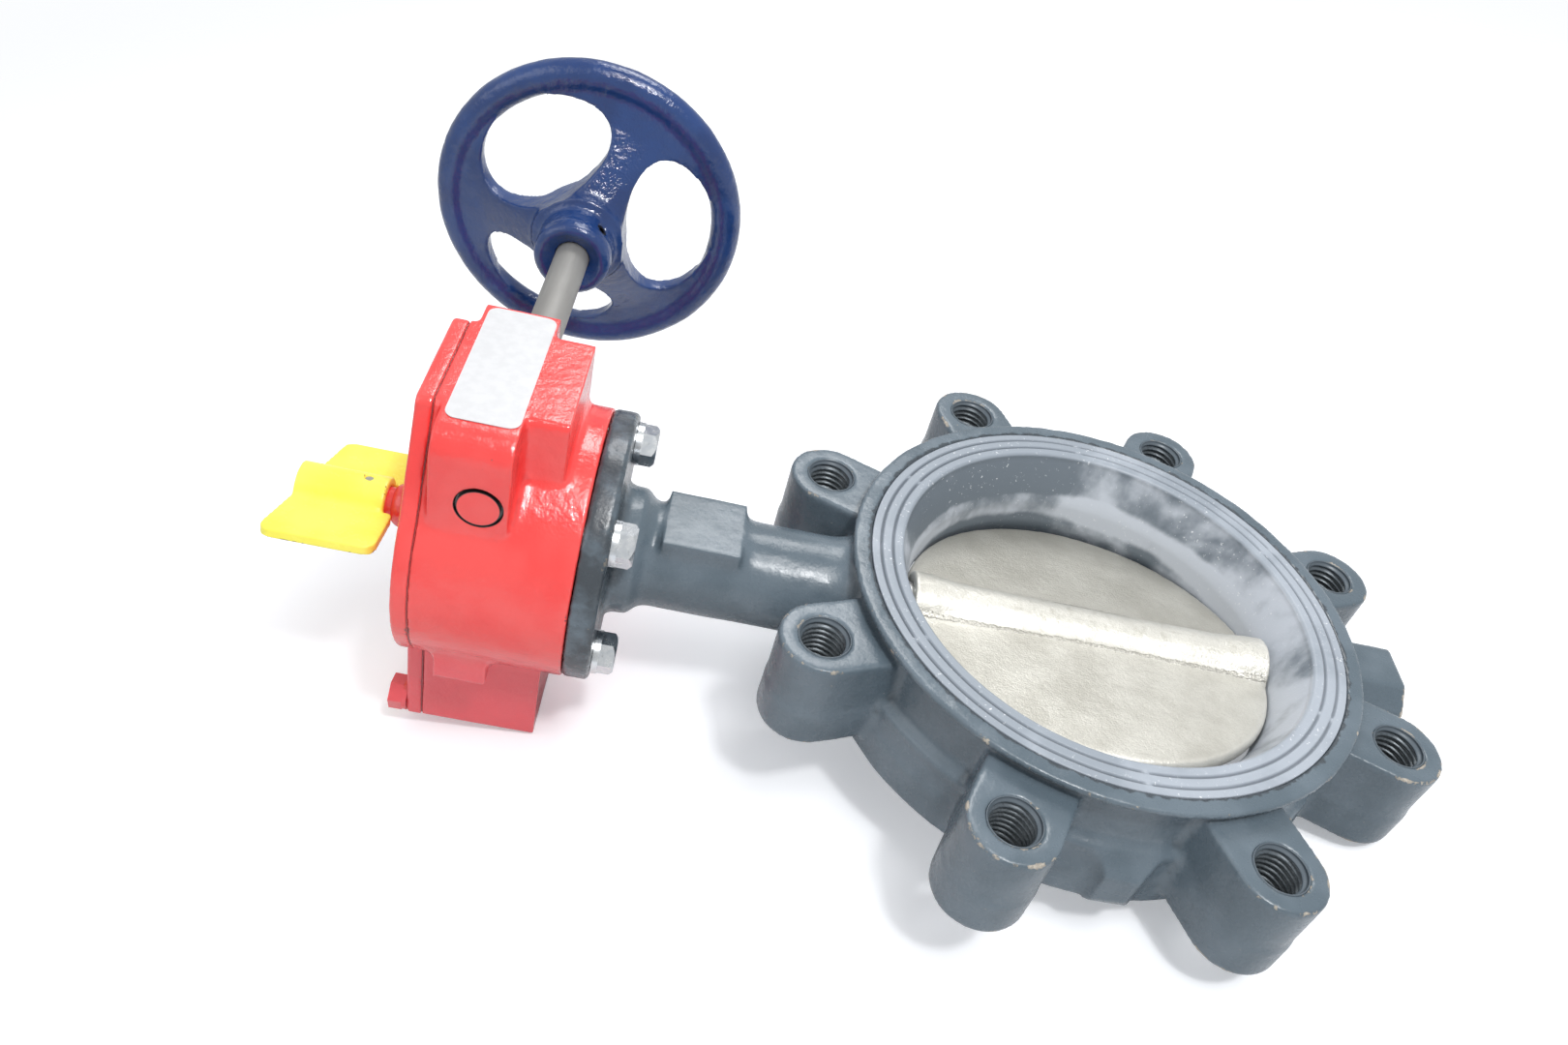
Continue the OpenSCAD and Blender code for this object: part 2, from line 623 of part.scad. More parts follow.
// toothed sector that turns the stem
module gear_sector() color([0.62, 0.60, 0.52]) {
    x0 = worm_x - sector_w / 2;
    tip_r = pitch_r + addendum;
    root_r = pitch_r - dedendum;
    gap_w = PI * gear_module / 2 + 0.1;
    lean = tan(22);
    a0 = 90 + (first_gap - 0.42) * tooth_pitch;
    a1 = 90 + (last_gap + 0.42) * tooth_pitch;
    difference() {
        union() {
            at_rest() xcyl(sector_hub_r, worm_x - 14, -mount_x - 1);
            intersection() {
                xcyl(tip_r, x0, x0 + sector_w);
                xprism(x0, x0 + sector_w) polygon(concat([[0, 0]], arc([0, 0], 2 * tip_r, a0, a1, 12)));
            }
        }
        for (k = [first_gap:last_gap]) rotate([k * tooth_pitch, 0, 0]) translate([worm_x, 0, pitch_r])
            rotate([0, 0, lead_angle]) xprism(-sector_w, sector_w) polygon([
                for (s = [-1, 1], h = s < 0 ? [3, -dedendum] : [-dedendum, 3]) [s * (gap_w / 2 + h * lean), h]
            ]);
        at_rest() {
            xcyl(stem_r + seat_gap, worm_x - 15, -mount_x);
            translate([worm_x - 11, -2.5 - seat_gap, 0])
                cube([22, 5 + 2 * seat_gap, stem_r + 2.5 + seat_gap]);
        }
    }
}

// key between the stem and the sector
module stem_key() color(zinc) at_rest()
    translate([worm_x - 11 + seat_gap, -2.5, stem_r - 2.5 + seat_gap])
        cube([22 - 2 * seat_gap, 5, 5 - seat_gap]);

// worm thread as one closed helical sweep, about the Y axis
module worm_thread() {
    half_tip = (PI * gear_module / 2 - 2 * flank_gap) / 2 - addendum * tan(20);
    half_root = half_tip + (addendum + dedendum + 0.3) * tan(20);
    r_tip = worm_pitch_r + addendum;
    r_root = worm_core_r - 0.3;
    steps = 24;
    count = worm_turns * steps;
    section = [[r_root, -half_root], [r_tip, -half_tip], [r_tip, half_tip], [r_root, half_root]];
    pts = [for (i = [0:count]) let (a = (i - count / 2) * 360 / steps) for (p = section)
        [p[0] * sin(a), p[1] + lead * a / 360, -p[0] * cos(a)]];
    sides = [for (i = [0:count - 1], j = [0:3]) let (k = (j + 1) % 4)
        each [[4 * i + j, 4 * i + 4 + k, 4 * i + k], [4 * i + j, 4 * i + 4 + j, 4 * i + 4 + k]]];
    last = 4 * count;
    ends = [[0, 1, 2], [0, 2, 3], [last, last + 2, last + 1], [last, last + 3, last + 2]];
    polyhedron(points = pts, faces = concat(sides, ends));
}

// worm, pinned on the input shaft
module worm() color(zinc) on_worm() difference() {
    union() {
        ycyl(worm_core_r, -worm_half, worm_half);
        worm_thread();
    }
    ycyl(shaft_stub_r + seat_gap, -worm_half - 1, worm_half + 1);
    translate([0, worm_pin_y, 0]) cylinder(r = 1 + seat_gap, h = 40, center = true);
}

// roll pin through the worm and the shaft
module worm_pin() color(zinc) on_worm() translate([0, worm_pin_y, 0])
    cylinder(r = 1, h = 2 * (worm_core_r - 0.6), center = true);

// input shaft, stepped down inside the housing
module input_shaft() color([0.62, 0.62, 0.60]) on_worm() difference() {
    union() {
        ycyl(shaft_stub_r, -(worm_half + thrust_t + near_bush_len), worm_half + thrust_t + 0.6);
        ycyl(shaft_r, worm_half + thrust_t + 0.6, hub_back_y - 1.5);
    }
    translate([0, worm_pin_y, 0]) cylinder(r = 1 + seat_gap, h = 40, center = true);
}

// ---- handwheel ----

set_screw_y = hub_y + 12.5;
set_screw_angle = 48;
shoulder_y = hub_y + hub_nose_len;

// one opening between two spokes, in (X, Z), centred on +X
module wheel_opening() {
    mid = 39.2;
    radial = 19.6;
    along = 32.5;
    polygon([for (i = [0:47]) let (a = i * 7.5)
        [mid + radial * cos(a) - 0.0035 * pow(along * sin(a), 2), along * sin(a)]]);
}

// handwheel: round rim, dished web with three openings, stepped hub
module handwheel() color(paint_blue) on_worm() difference() {
    union() {
        rotate([-90, 0, 0]) rotate_extrude()
            translate([wheel_r - rim_tube_r, wheel_y]) circle(r = rim_tube_r);
        difference() {
            rotate([-90, 0, 0]) rotate_extrude() polygon([
                [4, hub_y + 3], [shaft_r + 2, hub_y + 3], [hub_nose_r - 4, hub_y],
                [hub_nose_r - 2, hub_y + 0.4], [hub_nose_r, hub_y + 2], [hub_nose_r + 0.7, hub_y + 7.6],
                [hub_nose_r, hub_y + 8.4], [hub_nose_r, shoulder_y], [hub_r - 1, shoulder_y],
                [hub_r, shoulder_y + 1], [hub_r, shoulder_y + 4], [wheel_r - 22.5, wheel_y - 9],
                [wheel_r - rim_tube_r, wheel_y - 4], [wheel_r - rim_tube_r, wheel_y + 4],
                [wheel_r - 22.5, wheel_y], [hub_r, shoulder_y + 18], [hub_nose_r, hub_back_y - 1.5],
                [hub_nose_r - 1.5, hub_back_y], [4, hub_back_y]
            ]);
            for (i = [0:2]) rotate([0, -(spoke_angle + 60 + 120 * i), 0])
                yprism(shoulder_y + 0.5, wheel_y + 20) wheel_opening();
        }
    }
    ycyl(shaft_r + seat_gap, hub_y - 1, hub_back_y + 1);
    translate([0, set_screw_y, 0]) rotate([0, 90 - set_screw_angle, 0]) cylinder(r = 2.6 + seat_gap, h = 40);
}

// set screw that holds the handwheel on the shaft
module wheel_set_screw() color([0.15, 0.15, 0.16]) on_worm() translate([0, set_screw_y, 0])
    rotate([0, 90 - set_screw_angle, 0]) translate([0, 0, shaft_r + 0.15]) difference() {
        cylinder(r = 2.6, h = hub_nose_r - shaft_r - 1.4);
        translate([0, 0, 4]) cylinder(r = 1.5, h = 10, $fn = 6);
    }

// ---- indicator ----

flag_x = boss_out_x - 0.6;
flag_end_x = flag_x - flag_len;
flag_pin_x = flag_x - 8;

// post that carries the flag, driven by a square in the stem's end
module indicator_post() color(zinc) at_rest() difference() {
    union() {
        xcyl(post_r, flag_end_x + 1, worm_x - 14.4);
        translate([worm_x - 11, 0, 0]) cube([9, 8, 8], center = true);
    }
    translate([flag_pin_x, 0, 0]) cylinder(r = 1.6 + seat_gap, h = 40, center = true);
}

// flag that shows the disc's position
module position_flag() color([1, 0.93, 0.12]) at_rest() difference() {
    union() {
        xcyl(flag_socket_r, flag_end_x, flag_x);
        translate([0, 0, -flag_t / 2]) linear_extrude(flag_t) {
            polygon(concat(
                [[flag_x, 0], [flag_end_x, 0], [flag_end_x, -9]],
                arc([flag_end_x + 0.8, -flag_reach + 4.5], 4.5, 184, 270, 5),
                arc([flag_x - 0.5, -flag_reach + 4.5], 4.5, 270, 360, 5), [[flag_x + 4, -12]]));
            polygon(concat(
                [[flag_x + 4, 12]], arc([flag_x - 0.5, flag_reach - 4], 4.5, 0, 90, 5),
                arc([flag_end_x + 10.5, flag_reach - 4], 4.5, 90, 176, 5),
                [[flag_end_x + 3, 12], [flag_end_x, 9], [flag_end_x, 0], [flag_x, 0]]));
        }
    }
    xcyl(post_r + seat_gap, flag_end_x - 1, flag_x + 4);
    // clearance round the cover's boss
    xcyl(cover_boss_r + 1, flag_x, flag_x + 5);
    translate([flag_pin_x, 0, 0]) cylinder(r = 1.6 + seat_gap, h = 40, center = true);
}

// roll pin through the flag and its post
module flag_pin() color([0.2, 0.2, 0.2]) at_rest() translate([flag_pin_x, 0, 0])
    cylinder(r = 1.6, h = 2 * (flag_socket_r - 0.8), center = true);

valve_body();
seat_liner();
upper_bushing();
collar_bushing();
lower_bushing();
stem_seals();
disc();
upper_stem();
lower_stem();
gear_housing();
gear_cover();
cover_gasket();
cover_bolts();
cover_flush_screws();
flange_bolts();
lock_washers();
worm_plug();
worm_bushings();
thrust_washers();
shaft_seal();
label_plate();
post_seal();
gear_sector();
stem_key();
indicator_post();
position_flag();
flag_pin();
worm();
worm_pin();
input_shaft();
handwheel();
wheel_set_screw();
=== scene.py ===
"""Looks of a lug-pattern butterfly valve with a worm-gear operator, lying on a pale table.

The CAD frame gives every piece its place. Castings get a softened, slightly lumpy skin made from
their CAD node, the rubber seat and the lug threads are worked out as surfaces, and the other pieces
keep their CAD mesh and get a finish.
"""

import json
import math

import bmesh
import bpy
import numpy as np
from mathutils import Euler, Matrix, Vector


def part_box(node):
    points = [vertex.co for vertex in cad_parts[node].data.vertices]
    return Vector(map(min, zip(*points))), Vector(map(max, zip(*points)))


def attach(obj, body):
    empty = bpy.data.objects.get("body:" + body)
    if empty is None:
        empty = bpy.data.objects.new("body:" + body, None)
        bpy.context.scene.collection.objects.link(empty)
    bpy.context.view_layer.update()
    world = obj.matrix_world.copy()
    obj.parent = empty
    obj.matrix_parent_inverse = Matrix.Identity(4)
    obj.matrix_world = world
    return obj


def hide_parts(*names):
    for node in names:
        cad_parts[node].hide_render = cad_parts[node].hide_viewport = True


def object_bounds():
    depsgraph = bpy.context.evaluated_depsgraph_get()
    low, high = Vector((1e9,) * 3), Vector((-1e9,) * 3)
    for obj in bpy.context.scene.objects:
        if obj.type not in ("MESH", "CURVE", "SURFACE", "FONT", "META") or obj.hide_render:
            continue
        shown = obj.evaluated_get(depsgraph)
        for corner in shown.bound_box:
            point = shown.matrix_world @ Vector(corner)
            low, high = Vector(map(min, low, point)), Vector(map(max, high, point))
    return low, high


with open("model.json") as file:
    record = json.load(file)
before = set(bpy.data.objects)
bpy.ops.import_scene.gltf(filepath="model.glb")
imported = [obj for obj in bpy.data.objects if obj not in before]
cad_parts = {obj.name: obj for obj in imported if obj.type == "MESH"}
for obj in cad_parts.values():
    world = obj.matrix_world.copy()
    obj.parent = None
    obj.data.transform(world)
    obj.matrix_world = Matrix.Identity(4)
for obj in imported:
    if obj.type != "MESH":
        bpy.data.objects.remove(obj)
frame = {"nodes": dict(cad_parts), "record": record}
CAD_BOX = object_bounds()
MM = 0.001


# ---- sizes that the frame doesn't name ----

LUG_HALF = 20.5 * MM
SEAT_BORE_R = 75.8 * MM
SEAT_BACK_R = 87.98 * MM
SEAT_LIP = 3 * MM
GROOVE_RADII = (87.6 * MM, 92.3 * MM)
RIM_TUBE_R = 7.2 * MM
DISC_TILT = math.radians(10)

# Most triangles in a casting's skin.
MOST_TRIANGLES = 190000
# A bend whose inverse is this length, or a tighter one, counts as a full edge.
FULL_EDGE = 9 * MM


# ---- sizes read from the frame ----

def low(node):
    """Lowest corner of a CAD node's box, as an array."""
    return np.array(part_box(node)[0])


def high(node):
    """Highest corner of a CAD node's box, as an array."""
    return np.array(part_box(node)[1])


HALF_FACE = high("seat_liner")[2]
LIP_R = high("seat_liner")[1]
WORM_X = (low("input_shaft")[0] + high("input_shaft")[0]) / 2
WORM_Z = (low("input_shaft")[2] + high("input_shaft")[2]) / 2
LUG_MOUNT = next(m for m in frame["record"]["mounts"] if m["name"] == "lug_bolts")
LUG_COUNT = LUG_MOUNT["dims"]["count"]
LUG_CIRCLE_R = LUG_MOUNT["dims"]["pcd_mm"] * MM / 2
LUG_HOLE_R = LUG_MOUNT["dims"]["hole_r_mm"] * MM
PLUG_R = (high("worm_plug")[0] - low("worm_plug")[0]) / 2
PLUG_FACE_Y = low("worm_plug")[1]
RIM_Y = high("handwheel")[1] - RIM_TUBE_R
FLANGE_X = low("lock_washers")[0]
COVER_JOINT_X = (low("cover_gasket")[0] + high("cover_gasket")[0]) / 2


# ---- meshes ----

def lattice_noise(points, size, seed):
    """Smooth noise from -1 to 1: hashed values on a cubic lattice, blended with a smooth step.

    The large constants only scramble the three cell numbers into one."""
    p = points / size + 1000.0
    cell = np.floor(p).astype(np.int64)
    t = p - cell
    t = t * t * (3 - 2 * t)
    total = np.zeros(len(points))
    for corner in range(8):
        step = np.array([corner & 1, corner >> 1 & 1, corner >> 2 & 1])
        c = cell + step
        h = (c[:, 0] * 73856093 ^ c[:, 1] * 19349663 ^ c[:, 2] * 83492791 ^ seed * 2654435761) & 0xFFFFFF
        h = (h * 1103515245 + 12345) & 0xFFFFFF
        h = (h ^ h >> 11) * 22695477 & 0xFFFFFF
        total += (h / 0x7FFFFF - 1) * np.prod(np.where(step, t, 1 - t), axis=1)
    return total


def mesh_arrays(mesh):
    """Vertex places, edge ends and vertex normals of a mesh, as arrays."""
    places = np.empty(len(mesh.vertices) * 3)
    mesh.vertices.foreach_get("co", places)
    ends = np.empty(len(mesh.edges) * 2, dtype=np.int32)
    mesh.edges.foreach_get("vertices", ends)
    normals = np.empty(len(mesh.vertices) * 3)
    mesh.vertex_normals.foreach_get("vector", normals)
    return places.reshape(-1, 3), ends.reshape(-1, 2), normals.reshape(-1, 3)


def neighbour_mean(values, ends):
    """For each vertex, the mean of its neighbours' values."""
    n = len(values)
    count = np.bincount(ends.ravel(), minlength=n)
    one, other = ends.T
    total = np.stack([
        np.bincount(one, column[other], n) + np.bincount(other, column[one], n)
        for column in values.reshape(n, -1).T
    ], axis=1)
    return (total / np.maximum(count, 1)[:, None]).reshape(values.shape)


def edge_length_mean(length, ends, n):
    """For each of n vertices, the mean length of its edges."""
    one, other = ends.T
    total = np.bincount(one, length, n) + np.bincount(other, length, n)
    return total / np.maximum(np.bincount(ends.ravel(), minlength=n), 1)


def store_values(mesh, name, values):
    """Keep one number per vertex as a mesh attribute."""
    attribute_data = mesh.attributes.new(name, "FLOAT", "POINT").data
    attribute_data.foreach_set("value", values.astype(np.float32).ravel())


def set_places(mesh, places):
    """Write vertex places back to a mesh."""
    mesh.vertices.foreach_set("co", places.ravel())
    mesh.update()


def store_wear_and_shade_bends(mesh):
    """Attributes 'edge' and 'crease': how sharply the surface turns outwards and inwards, 0 to 1.

    The bend is the inward part of each vertex's step to its neighbours' mean, over the squared
    edge length, spread over a few rings of neighbours."""
    places, ends, normals = mesh_arrays(mesh)
    step = neighbour_mean(places, ends) - places
    length = np.linalg.norm(places[ends[:, 0]] - places[ends[:, 1]], axis=1)
    spacing = edge_length_mean(length, ends, len(places))
    bend = -(step * normals).sum(axis=1) / spacing ** 2
    for _ in range(3):
        bend = 0.5 * bend + 0.5 * neighbour_mean(bend, ends)
    # The edge bend drives the enamels' chips, the crease bend their painted shade.
    for name, side in (("edge", 1), ("crease", -1)):
        store_values(mesh, name, np.clip(side * bend * FULL_EDGE, 0, 1))


def fill_creases(mesh, rounds):
    """Round the inner corners of a casting and leave its outer edges crisp.

    Each round moves a vertex half way to its neighbours' mean where that mean lies outside. The
    normals are worked out anew after every eighth round."""
    places, ends, normals = mesh_arrays(mesh)
    for done in range(1, rounds + 1):
        step = neighbour_mean(places, ends) - places
        inner = (step * normals).sum(axis=1) > 0
        places[inner] += 0.5 * step[inner]
        if done % 8 == 0:
            set_places(mesh, places)
            normals = mesh_arrays(mesh)[2]
    set_places(mesh, places)


def link(obj):
    """Put an object in the scene."""
    bpy.context.scene.collection.objects.link(obj)
    return obj


def finish_piece(obj, body, material):
    """Give a piece its finish, smooth shading, body and material slot."""
    mesh = obj.data
    mesh.materials.clear()
    mesh.materials.append(material)
    mesh.polygons.foreach_set("use_smooth", np.ones(len(mesh.polygons), dtype=bool))
    mesh.polygons.foreach_set("material_index", np.zeros(len(mesh.polygons), dtype=np.int32))
    mesh.update()
    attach(obj, body)


def closed_grid(name, points):
    """Mesh of quads over a grid of points (u, v, 3), closed along u and v and facing outwards."""
    nu, nv = points.shape[:2]
    a, b = np.meshgrid(np.arange(nu), np.arange(nv), indexing="ij")
    a2, b2 = (a + 1) % nu, (b + 1) % nv
    quads = np.stack([a * nv + b, a2 * nv + b, a2 * nv + b2, a * nv + b2], axis=-1)
    mesh = bpy.data.meshes.new(name)
    mesh.from_pydata(points.reshape(-1, 3), [], quads.reshape(-1, 4).tolist())
    bm = bmesh.new()
    bm.from_mesh(mesh)
    bmesh.ops.recalc_face_normals(bm, faces=bm.faces)
    bm.to_mesh(mesh)
    bm.free()
    return mesh


def evaluated(obj):
    """A new mesh of the object with its modifiers applied."""
    bpy.context.view_layer.update()
    return bpy.data.meshes.new_from_object(obj.evaluated_get(bpy.context.evaluated_depsgraph_get()))


def cast_skin(node, voxel, rounds, fillets, lumps, body, material, true_up=None):
    """Replace a CAD casting by its own shape with softened edges, fillets and a lumpy surface.

    A merged copy is remeshed to even quads, smoothed for a number of rounds and thinned where it
    has too many triangles. true_up may then put vertices back on a true round. The inner corners
    are filled for another number of rounds, and the skin is sunk along its normals by noise: each
    entry of lumps is (depth, size, seed)."""
    mesh = frame["nodes"][node].data.copy()
    bm = bmesh.new()
    bm.from_mesh(mesh)
    bmesh.ops.remove_doubles(bm, verts=bm.verts, dist=0.001 * MM)
    bm.to_mesh(mesh)
    bm.free()
    rough = link(bpy.data.objects.new(node + "_rough", mesh))
    remesh = rough.modifiers.new("even", "REMESH")
    remesh.mode = "VOXEL"
    remesh.voxel_size = voxel
    soften = rough.modifiers.new("soften", "SMOOTH")
    soften.factor = 0.5
    soften.iterations = rounds
    triangles = 2 * len(evaluated(rough).polygons)
    if triangles > MOST_TRIANGLES:
        thin = rough.modifiers.new("thin", "DECIMATE")
        thin.ratio = MOST_TRIANGLES / triangles
    result = evaluated(rough)
    result.name = node + "_skin"
    bpy.data.objects.remove(rough)
    if true_up:
        true_up(result)
    fill_creases(result, fillets)
    places, _, normals = mesh_arrays(result)
    sink = sum(depth * (0.5 + 0.5 * lattice_noise(places, size, seed)) for depth, size, seed in lumps)
    set_places(result, places - normals * sink[:, None])
    store_wear_and_shade_bends(result)
    skin = link(bpy.data.objects.new(node + "_skin", result))
    finish_piece(skin, body, material)
    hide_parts(node)


# ---- shader maths ----

class Field:
    """A shader socket that can be added, multiplied and compared like a number."""

    def __init__(self, tree, socket):
        self.tree = tree
        self.socket = socket

    def node(self, kind, settings=None, inputs=None, out=0):
        """Add a node of a type, set its settings, then fill its inputs with values or fields."""
        made = self.tree.nodes.new(kind)
        for name, value in (settings or {}).items():
            setattr(made, name, value)
        for name, value in (inputs or {}).items():
            if isinstance(value, Field):
                self.tree.links.new(value.socket, made.inputs[name])
            else:
                made.inputs[name].default_value = value
        return Field(self.tree, made.outputs[out])

    def math(self, operation, *values):
        """One Math node over two values or fields."""
        return self.node("ShaderNodeMath", {"operation": operation}, dict(enumerate(values)))

    def __abs__(self):
        return self.math("ABSOLUTE", self)

    def larger(self, other):
        """The larger of this field and another."""
        return self.math("MAXIMUM", self, other)

    def length(self):
        """The length of a vector field."""
        return self.node("ShaderNodeVectorMath", {"operation": "LENGTH"}, {0: self}, out=1)

    def __add__(self, other):
        return self.math("ADD", self, other)

    def __radd__(self, other):
        return self.math("ADD", other, self)

    def __sub__(self, other):
        return self.math("SUBTRACT", self, other)

    def __rsub__(self, other):
        return self.math("SUBTRACT", other, self)

    def __mul__(self, other):
        return self.math("MULTIPLY", self, other)

    def __rmul__(self, other):
        return self.math("MULTIPLY", other, self)

    def step(self, start, end):
        """0 below start, 1 above end, smooth between; start may be above end to turn it round."""
        settings = {"interpolation_type": "SMOOTHSTEP"}
        if start < end:
            inputs = {"Value": self, "From Min": start, "From Max": end}
            return self.node("ShaderNodeMapRange", settings, inputs)
        return 1 - self.step(end, start)

    def part(self, axis):
        """One coordinate of a vector field."""
        return self.node("ShaderNodeSeparateXYZ", inputs={"Vector": self}, out="XYZ".index(axis))

    def noise(self, size, detail=3.0, roughness=0.55, stretch=(1, 1, 1), shift=0.0, distortion=0.0):
        """Noise from about 0.3 to 0.7 over a vector field, with features of a size in metres."""
        moved = {"Vector": self, "Scale": stretch, "Location": (shift, shift, shift)}
        place = self.node("ShaderNodeMapping", inputs=moved)
        inputs = {"Vector": place, "Scale": 1 / size, "Detail": detail, "Roughness": roughness,
                  "Distortion": distortion}
        return self.node("ShaderNodeTexNoise", inputs=inputs)

    def cells(self, size):
        """Distance to the nearest point of a scattered set, in cells of a size in metres."""
        return self.node("ShaderNodeTexVoronoi", inputs={"Vector": self, "Scale": 1 / size})

    def mix(self, first, second):
        """A colour that goes from first to second as this field goes from 0 to 1.

        The Mix node's colour sockets are its inputs 6 and 7 and its output 2."""
        settings = {"data_type": "RGBA", "clamp_factor": True}
        return self.node("ShaderNodeMix", settings, {0: self, 6: colour(first), 7: colour(second)}, out=2)


def colour(value):
    """A colour with its alpha added, or a field as it is."""
    return value if isinstance(value, Field) else (*value, 1.0)


def new_material(name):
    """An empty principled material: its shader node and a field of object coordinates."""
    material = bpy.data.materials.new(name)
    material.use_nodes = True
    tree = material.node_tree
    shader = tree.nodes["Principled BSDF"]
    where = Field(tree, tree.nodes.new("ShaderNodeTexCoord").outputs["Object"])
    return material, shader, where


def set_shader(shader, **values):
    """Fill the principled shader's sockets: an underscore in a name stands for a space."""
    tree = shader.id_data
    for name, value in values.items():
        socket = shader.inputs[name.replace("_", " ")]
        if isinstance(value, Field):
            tree.links.new(value.socket, socket)
        else:
            socket.default_value = colour(value) if name == "Base_Color" else value


def bump(shader, where, *layers):
    """Chain bumps into the shader's normal: each layer is (height field, depth in metres)."""
    normal = None
    for height, depth in layers:
        inputs = {"Height": height, "Distance": depth, "Strength": 1.0}
        if normal is not None:
            inputs["Normal"] = normal
        normal = where.node("ShaderNodeBump", inputs=inputs)
    set_shader(shader, Normal=normal)


def attribute(where, name):
    """A per-vertex attribute of the mesh as a field."""
    return where.node("ShaderNodeAttribute", {"attribute_name": name}, out=2)


# ---- finishes ----

def enamel(name, base, dark, pale, gloss, grain, chips, nicks, chip_colour, shine, marks_and_painted_light=(),
           worn=None):
    """Enamel over a casting: soft colour drift, cast grain, and chips along outer edges.

    dark is the colour of painted shade in creases and pale the other end of the drift. gloss is
    the roughness and shine the specular level. grain is (size, depth) of the cast texture under the
    paint. chips sets how much of the edges is bare, more being barer, and nicks how strong the
    scattered small ones are. seams are (mask, colour) of what lies over the paint, of painted shade
    in gaps that it doesn't bridge and of painted reflections. worn is a mask of where edges chip
    more easily."""
    material, shader, where = new_material(name)
    edge = attribute(where, "edge")
    crease = attribute(where, "crease")
    drift = where.noise(28 * MM, detail=2).step(0.38, 0.62)
    tint = drift.mix(base, pale)
    # Painted shade: creases darkened towards dark.
    tint = (crease.step(0.4, 1.0) * 0.35).mix(tint, dark)
    speck = where.noise(1.1 * MM, detail=4, roughness=0.7)
    patch = where.noise(9 * MM, detail=3, roughness=0.6, shift=3.0)
    limit = 1.32 - chips + ((1 - worn(where)) * 0.34 if worn else 0)
    bare = (edge * 1.1 + (speck - 0.5) * 1.3 + (patch - 0.5) * 2.6 - limit).step(0.0, 0.06)
    nick = (where.cells(7 * MM) + (speck - 0.5) * 0.12).step(0.055, 0.045) * patch.step(0.52, 0.6)
    bare = bare.larger(nick * nicks)
    metal = speck.step(0.4, 0.6).mix(chip_colour, [0.6 * c for c in chip_colour])
    tint = bare.mix(tint, metal)
    # Laid over the tint: real marks, painted shade in gaps and a painted table reflection.
    for seam, seam_colour in marks_and_painted_light:
        tint = seam(where).mix(tint, seam_colour)
    haze = where.noise(6 * MM, detail=5, roughness=0.65, shift=8.0)
    rough = gloss + (haze - 0.5) * 0.2 + bare * 0.35
    set_shader(shader, Base_Color=tint, Roughness=rough, Specular_IOR_Level=shine)
    size, depth = grain
    bump(shader, where,
         (where.noise(size, detail=4, roughness=0.6), depth),
         (where.noise(size * 4, detail=2, shift=5.0), depth * 2.2),
         (1 - bare, 0.08 * MM))
    return material


def radius_from(where, axis, centre=(0, 0, 0)):
    """Distance from a line along an axis through a centre."""
    scale = [0 if a == axis else 1 for a in "XYZ"]
    place = [-c * k for c, k in zip(centre, scale)]
    flat = where.node("ShaderNodeMapping", inputs={"Vector": where, "Location": place, "Scale": scale})
    return flat.length()


def flange_grime(where):
    """Mask of the dark, scuffed paint on the operator flange."""
    smear = where.noise(14 * MM, detail=4, roughness=0.6, shift=15.0)
    on_flange = where.part("X").step(FLANGE_X + 6 * MM, FLANGE_X - 1 * MM)
    return on_flange * smear.step(0.30, 0.60) * 0.75


def lip_smear(where):
    """Mask of the dark lumpy line where the rubber lip meets the body's end face."""
    radius = radius_from(where, "Z")
    ragged = radius + (where.noise(3.5 * MM, detail=3, shift=18.0) - 0.5) * 4.5 * MM
    level = abs(where.part("Z"))
    on_end = level.step(HALF_FACE - 3 * MM, HALF_FACE - 2 * MM)
    return ragged.step(LIP_R + 1.7 * MM, LIP_R + 0.9 * MM) * on_end * 0.8


def lug_wear(where):
    """Mask of the lugs' outer half, where the paint is knocked off first."""
    outer = radius_from(where, "Z").step(110 * MM, 126 * MM)
    off_the_neck = where.part("X").step(-130 * MM, -122 * MM)
    return outer * off_the_neck


def body_enamel():
    """Slate enamel of the body, scuffed on its flange and chipped on its lugs."""
    return enamel("body_enamel", base=(0.096, 0.129, 0.156), dark=(0.024, 0.033, 0.042),
                  pale=(0.129, 0.166, 0.198), gloss=0.27, grain=(1.2 * MM, 0.08 * MM),
                  chips=0.18, nicks=0.7, chip_colour=(0.52, 0.47, 0.40), shine=0.5,
                  marks_and_painted_light=[(flange_grime, (0.030, 0.032, 0.036)), (lip_smear, (0.035, 0.042, 0.050))],
                  worn=lug_wear)


def plug_gap_shade(where):
    """Mask of painted shade in the thin open ring round the worm bore's plug, on the near face only."""
    radius = radius_from(where, "Y", (WORM_X, 0, WORM_Z))
    line_r = PLUG_R - 0.2 * MM
    # Painted shade: a near-black ring in the gap round the plug.
    line = abs(radius - line_r).step(0.85 * MM, 0.55 * MM)
    near = where.part("Y").step(PLUG_FACE_Y + 3 * MM, PLUG_FACE_Y + 2 * MM)
    return line * near


def joint_line(where):
    """Mask of the hairline crack in the paint along the cover's joint."""
    offset = where.part("X") - COVER_JOINT_X + (where.noise(2 * MM, shift=21.0) - 0.5) * 0.3 * MM
    return abs(offset).step(0.22 * MM, 0.12 * MM) * 0.9


def low_table_reflection(where):
    """Mask of a painted reflection of the pale table on the operator's lower half, a pinker, duller red."""
    # Painted reflection: the pale table mirrored in the lower-facing red.
    return where.part("Z").step(-5 * MM, -45 * MM) * 0.6


